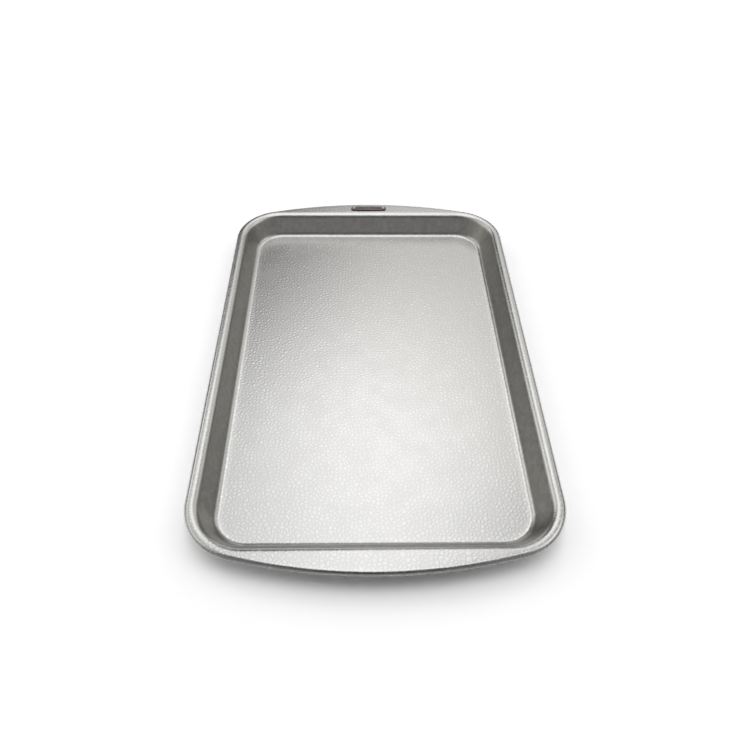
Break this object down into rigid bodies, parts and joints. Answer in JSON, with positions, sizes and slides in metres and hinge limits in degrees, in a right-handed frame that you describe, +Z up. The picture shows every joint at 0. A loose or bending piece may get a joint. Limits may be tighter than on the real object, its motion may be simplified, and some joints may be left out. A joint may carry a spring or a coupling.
{
  "type": "sheet cake pan",
  "caption": "Shallow rectangular sheet cake pan pressed from pebbled aluminium, with flared walls, bowed end grips and a bare riveted plate.",
  "frame": {"origin": "middle of the pan's underside, on the surface it stands on", "axes": "+X across the pan, +Y along it towards the grip with the plate, +Z up"},
  "size_m": [0.3258, 0.5062, 0.0275],
  "materials": {
    "pan_aluminium": "bare, pebble-embossed, satin",
    "plate_dark": "dark brown-grey, satin, bare of lettering",
    "rivet_bright": "bright, lightly brushed"
  },
  "bodies": {
    "root": {"pan_body": "pan_aluminium", "nameplate": "plate_dark", "rivet_left": "rivet_bright", "rivet_right": "rivet_bright"}
  },
  "joints": []
}
